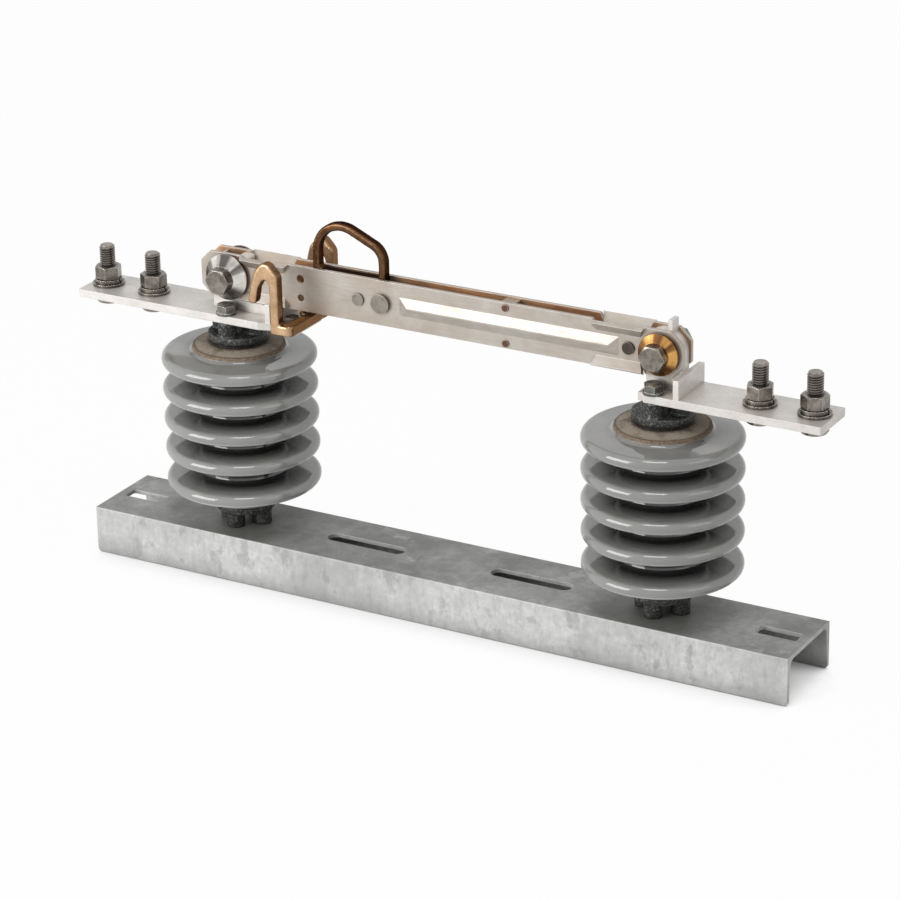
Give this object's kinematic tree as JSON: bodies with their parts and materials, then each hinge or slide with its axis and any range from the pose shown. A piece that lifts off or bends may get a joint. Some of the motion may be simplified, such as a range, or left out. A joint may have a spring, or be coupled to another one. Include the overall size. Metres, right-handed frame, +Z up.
{
  "type": "single-pole hook-stick disconnect switch",
  "caption": "Outdoor knife switch: a hinged twin-bar blade with a pull ring bridges two terminals on shedded post insulators, which stand on a slotted steel channel.",
  "frame": {"origin": "centre of the base channel's underside, on the plane that it stands on", "axes": "+X along the channel from the jaw end to the hinge end, +Y towards the rear, +Z up"},
  "size_m": [0.6604, 0.1258, 0.3112],
  "materials": {
    "galvanised_channel": "hot-dip galvanised, mottled grey",
    "porcelain": "grey glazed porcelain",
    "cap_iron": "dark galvanised casting, speckled",
    "cement": "tan portland cement with brown edge",
    "galvanised_bolts": "dark galvanised",
    "plated_copper": "tin-plated copper, satin",
    "silvered_blade": "silver-plated copper, warm satin",
    "steel_fasteners": "stainless steel",
    "stainless_cup": "turned stainless steel",
    "fibre": "dark red fibre",
    "gold_chromate": "yellow chromate plated steel",
    "bronze": "cast bronze, brown",
    "dark_bolts": "dark steel",
    "pin_steel": "plated steel"
  },
  "bodies": {
    "base": {"base_channel": "galvanised_channel", "far_load_hook": "bronze", "hinge_base_bolts": "galvanised_bolts", "hinge_bottom_cap": "cap_iron", "hinge_cement": "cement", "hinge_contact": "plated_copper", "hinge_flat_washers": "steel_fasteners", "hinge_insulator": "porcelain", "hinge_lock_washers": "steel_fasteners", "hinge_pad_bolts": "galvanised_bolts", "hinge_terminal_bolts": "steel_fasteners", "hinge_terminal_nuts": "steel_fasteners", "hinge_terminal_pad": "plated_copper", "hinge_top_cap": "cap_iron", "hook_bolts": "dark_bolts", "hook_nuts": "dark_bolts", "jaw_base_bolts": "galvanised_bolts", "jaw_bottom_cap": "cap_iron", "jaw_cement": "cement", "jaw_contact": "plated_copper", "jaw_flat_washers": "steel_fasteners", "jaw_insulator": "porcelain", "jaw_lock_washers": "steel_fasteners", "jaw_pad_bolts": "galvanised_bolts", "jaw_terminal_bolts": "steel_fasteners", "jaw_terminal_nuts": "steel_fasteners", "jaw_terminal_pad": "plated_copper", "jaw_top_cap": "cap_iron", "near_load_hook": "bronze"},
    "blade": {"blade_spacer": "pin_steel", "front_blade": "silvered_blade", "hinge_backing_washers": "gold_chromate", "hinge_bolt": "steel_fasteners", "hinge_cup_washers": "gold_chromate", "hinge_nut": "steel_fasteners", "jaw_backing_washers": "fibre", "jaw_bolt": "steel_fasteners", "jaw_cup_washers": "stainless_cup", "jaw_nut": "steel_fasteners", "latch_pin": "pin_steel", "pull_ring": "bronze", "rear_blade": "silvered_blade", "ring_pin": "pin_steel", "stop_pin": "pin_steel"}
  },
  "joints": [
    {"name": "blade_swing", "type": "hinge", "parent": "base", "child": "blade", "pos_m": [0.1919, 0, 0.2533], "axis": [0, 1, 0], "range_deg": [0, 90]}
  ]
}
